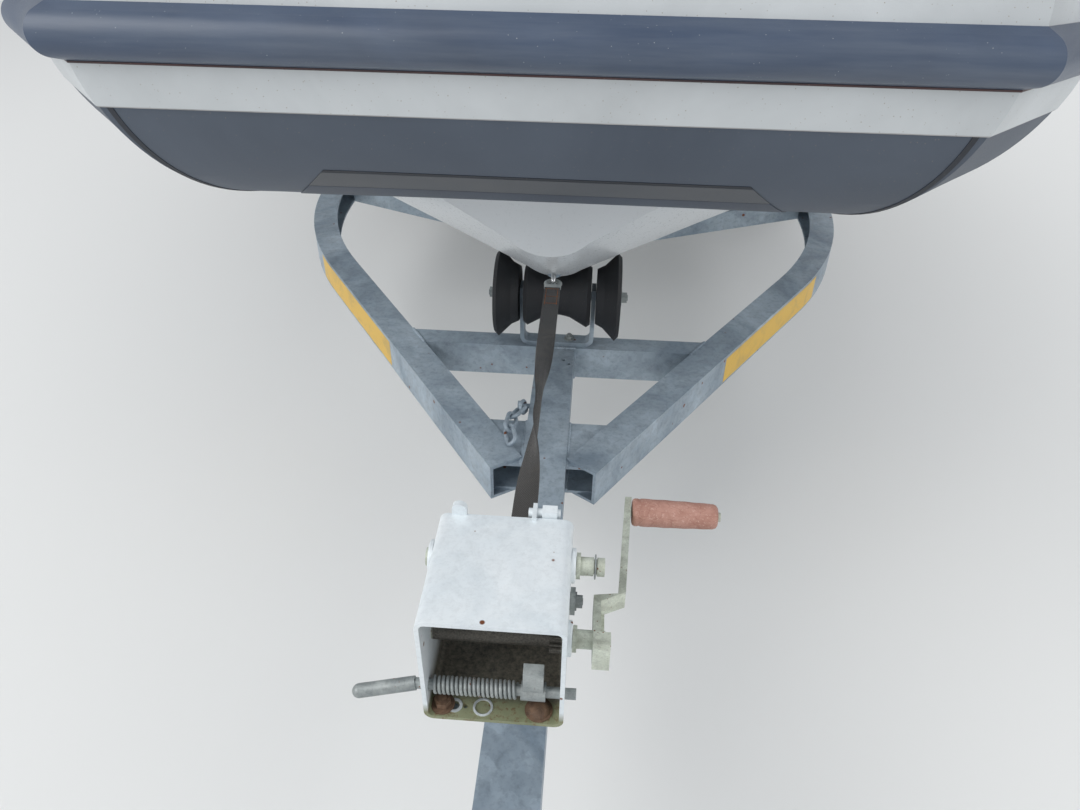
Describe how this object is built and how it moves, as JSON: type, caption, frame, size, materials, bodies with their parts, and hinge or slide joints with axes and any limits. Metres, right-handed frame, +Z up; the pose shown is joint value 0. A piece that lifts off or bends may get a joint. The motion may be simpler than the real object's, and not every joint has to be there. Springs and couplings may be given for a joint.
{
  "type": "inflatable rib boat",
  "caption": "Rigid inflatable boat with a deep-vee hull, grey tubes with a white band and a blue-grey fender, console and outboard, strapped down on its galvanised road trailer.",
  "frame": {"origin": "middle of the footprint on the ground, under the centre of the bounding box", "axes": "+Z up, -Y towards the bow and the coupling, +Y towards the stern, +X to the boat's port side"},
  "size_m": [2.0522, 5.958, 1.8925],
  "materials": {
    "galvanised": "weathered zinc",
    "zinc_yellow": "satin",
    "black_rubber": "matt",
    "tyre": "matt",
    "grey_fabric": "matt coated",
    "white_fabric": "matt coated",
    "fender_rubber": "satin",
    "white_gelcoat": "gloss",
    "webbing": "woven",
    "grip_plastic": "faded",
    "screen": "tinted",
    "stainless": "polished",
    "vinyl": "padded",
    "motor_black": "gloss",
    "motor_metal": "painted",
    "lamp": "gloss",
    "board": "satin",
    "carpet": "pile",
    "guard_plastic": "satin"
  },
  "bodies": {
    "trailer_and_boat": {"axle_beam": "galvanised", "bow_eye": "stainless", "bow_locker": "white_gelcoat", "bow_roller_bracket": "galvanised", "bow_strap": "webbing", "bunk_posts": "galvanised", "bunks": "carpet", "console": "white_gelcoat", "console_rail": "stainless", "coupling_head": "galvanised", "drawbar": "galvanised", "front_crossmember": "galvanised", "gusset_plates": "galvanised", "hull": "white_gelcoat", "inflatable_tube": "grey_fabric", "jockey_clamp": "galvanised", "light_board": "board", "motor_clamp": "motor_metal", "mudguards": "guard_plastic", "rear_lamps": "lamp", "rubbing_fender": "fender_rubber", "safety_chain": "galvanised", "seat_cushion": "vinyl", "seat_pod": "white_gelcoat", "side_member_left": "galvanised", "side_member_right": "galvanised", "strap_hook": "galvanised", "transom": "white_gelcoat", "tube_band": "white_fabric", "vee_crossmembers": "galvanised", "winch_housing": "galvanised", "winch_pawl": "galvanised", "winch_post": "galvanised", "winch_spring": "zinc_yellow", "windscreen": "screen"},
    "road_wheel_right": {"wheel_right": "galvanised", "tyre_right": "tyre"},
    "road_wheel_left": {"wheel_left": "galvanised", "tyre_left": "tyre"},
    "coupling_handle": {"coupling_handle": "galvanised"},
    "jockey_leg": {"jockey_inner_tube": "galvanised"},
    "jockey_crank": {"jockey_crank": "galvanised"},
    "jockey_fork": {"jockey_fork": "galvanised"},
    "jockey_wheel": {"jockey_wheel": "black_rubber"},
    "winch_drum": {"winch_drum": "galvanised", "winch_strap_roll": "webbing"},
    "winch_crank": {"winch_crank": "zinc_yellow"},
    "winch_stub_shaft": {"winch_stub_shaft": "zinc_yellow"},
    "winch_grip": {"winch_grip": "grip_plastic"},
    "bow_roller_middle": {"bow_roller_middle": "black_rubber"},
    "bow_roller_right": {"bow_roller_right": "black_rubber"},
    "bow_roller_left": {"bow_roller_left": "black_rubber"},
    "keel_roller_front": {"keel_roller_front": "black_rubber"},
    "keel_roller_rear": {"keel_roller_rear": "black_rubber"},
    "locker_lid": {"locker_lid": "white_gelcoat"},
    "helm_wheel": {"helm_wheel": "black_rubber"},
    "motor_swivel": {"swivel_bracket": "motor_metal"},
    "motor": {"motor_leg": "motor_metal", "motor_cowl": "motor_black"},
    "propeller": {"propeller": "motor_metal"}
  },
  "joints": [
    {"name": "wheel_right_spin", "type": "hinge", "parent": "trailer_and_boat", "child": "road_wheel_right", "pos_m": [0.882, 1.183, 0.289], "axis": [1, 0, 0], "continuous": true},
    {"name": "wheel_left_spin", "type": "hinge", "parent": "trailer_and_boat", "child": "road_wheel_left", "pos_m": [-0.882, 1.183, 0.289], "axis": [1, 0, 0], "continuous": true},
    {"name": "coupling_handle_lift", "type": "hinge", "parent": "trailer_and_boat", "child": "coupling_handle", "pos_m": [0, -2.853, 0.496], "axis": [1, 0, 0], "range_deg": [0, 50]},
    {"name": "jockey_tube_slide", "type": "slide", "parent": "trailer_and_boat", "child": "jockey_leg", "axis": [0, 0, 1], "range_m": [-0.15, 0.06]},
    {"name": "jockey_crank_turn", "type": "hinge", "parent": "trailer_and_boat", "child": "jockey_crank", "pos_m": [-0.086, -2.607, 0.75], "axis": [0, 0, 1], "continuous": true},
    {"name": "jockey_fork_swivel", "type": "hinge", "parent": "jockey_leg", "child": "jockey_fork", "pos_m": [-0.086, -2.607, 0.75], "axis": [0, 0, 1], "continuous": true},
    {"name": "jockey_wheel_spin", "type": "hinge", "parent": "jockey_fork", "child": "jockey_wheel", "pos_m": [-0.086, -2.569, 0.1], "axis": [1, 0, 0], "continuous": true},
    {"name": "winch_drum_turn", "type": "hinge", "parent": "trailer_and_boat", "child": "winch_drum", "pos_m": [0, -2.082, 0.822], "axis": [1, 0, 0], "continuous": true},
    {"name": "winch_crank_turn", "type": "hinge", "parent": "trailer_and_boat", "child": "winch_crank", "pos_m": [0, -2.12783, 0.82601], "axis": [1, 0, 0], "continuous": true},
    {"name": "winch_stub_turn", "type": "hinge", "parent": "trailer_and_boat", "child": "winch_stub_shaft", "pos_m": [0, -2.07959, 0.86794], "axis": [1, 0, 0], "continuous": true},
    {"name": "winch_grip_turn", "type": "hinge", "parent": "winch_crank", "child": "winch_grip", "pos_m": [0, -1.94453, 0.80997], "axis": [1, 0, 0], "continuous": true},
    {"name": "bow_roller_middle_turn", "type": "hinge", "parent": "trailer_and_boat", "child": "bow_roller_middle", "pos_m": [0, -1.062, 0.587], "axis": [1, 0, 0], "continuous": true},
    {"name": "bow_roller_right_turn", "type": "hinge", "parent": "trailer_and_boat", "child": "bow_roller_right", "pos_m": [0, -1.062, 0.587], "axis": [1, 0, 0], "continuous": true},
    {"name": "bow_roller_left_turn", "type": "hinge", "parent": "trailer_and_boat", "child": "bow_roller_left", "pos_m": [0, -1.062, 0.587], "axis": [1, 0, 0], "continuous": true},
    {"name": "keel_roller_front_turn", "type": "hinge", "parent": "trailer_and_boat", "child": "keel_roller_front", "pos_m": [0, -0.127, 0.43686], "axis": [1, 0, 0], "continuous": true},
    {"name": "keel_roller_rear_turn", "type": "hinge", "parent": "trailer_and_boat", "child": "keel_roller_rear", "pos_m": [0, 2.293, 0.43148], "axis": [1, 0, 0], "continuous": true},
    {"name": "locker_lid_hinge", "type": "hinge", "parent": "trailer_and_boat", "child": "locker_lid", "pos_m": [0, -0.869, 1.0943], "axis": [1, 0, 0], "range_deg": [0, 80]},
    {"name": "helm_wheel_turn", "type": "hinge", "parent": "trailer_and_boat", "child": "helm_wheel", "pos_m": [0, 0.935, 1.432], "axis": [0, 0.8829, 0.4695], "range_deg": [-540, 540]},
    {"name": "motor_tilt", "type": "hinge", "parent": "trailer_and_boat", "child": "motor_swivel", "pos_m": [0, 2.437, 0.998], "axis": [1, 0, 0], "range_deg": [0, 62]},
    {"name": "motor_steer", "type": "hinge", "parent": "motor_swivel", "child": "motor", "pos_m": [0, 2.515, 0.968], "axis": [0, 0, 1], "range_deg": [-30, 30]},
    {"name": "propeller_spin", "type": "hinge", "parent": "motor", "child": "propeller", "pos_m": [0, 2.7413, 0.285], "axis": [0, 1, 0], "continuous": true}
  ],
  "couplings": [
    {"joint": "winch_crank_turn", "follows": "winch_drum_turn", "ratio": -2.8333},
    {"joint": "winch_stub_turn", "follows": "winch_drum_turn", "ratio": -2.8333},
    {"joint": "helm_wheel_turn", "follows": "motor_steer", "ratio": -18}
  ]
}
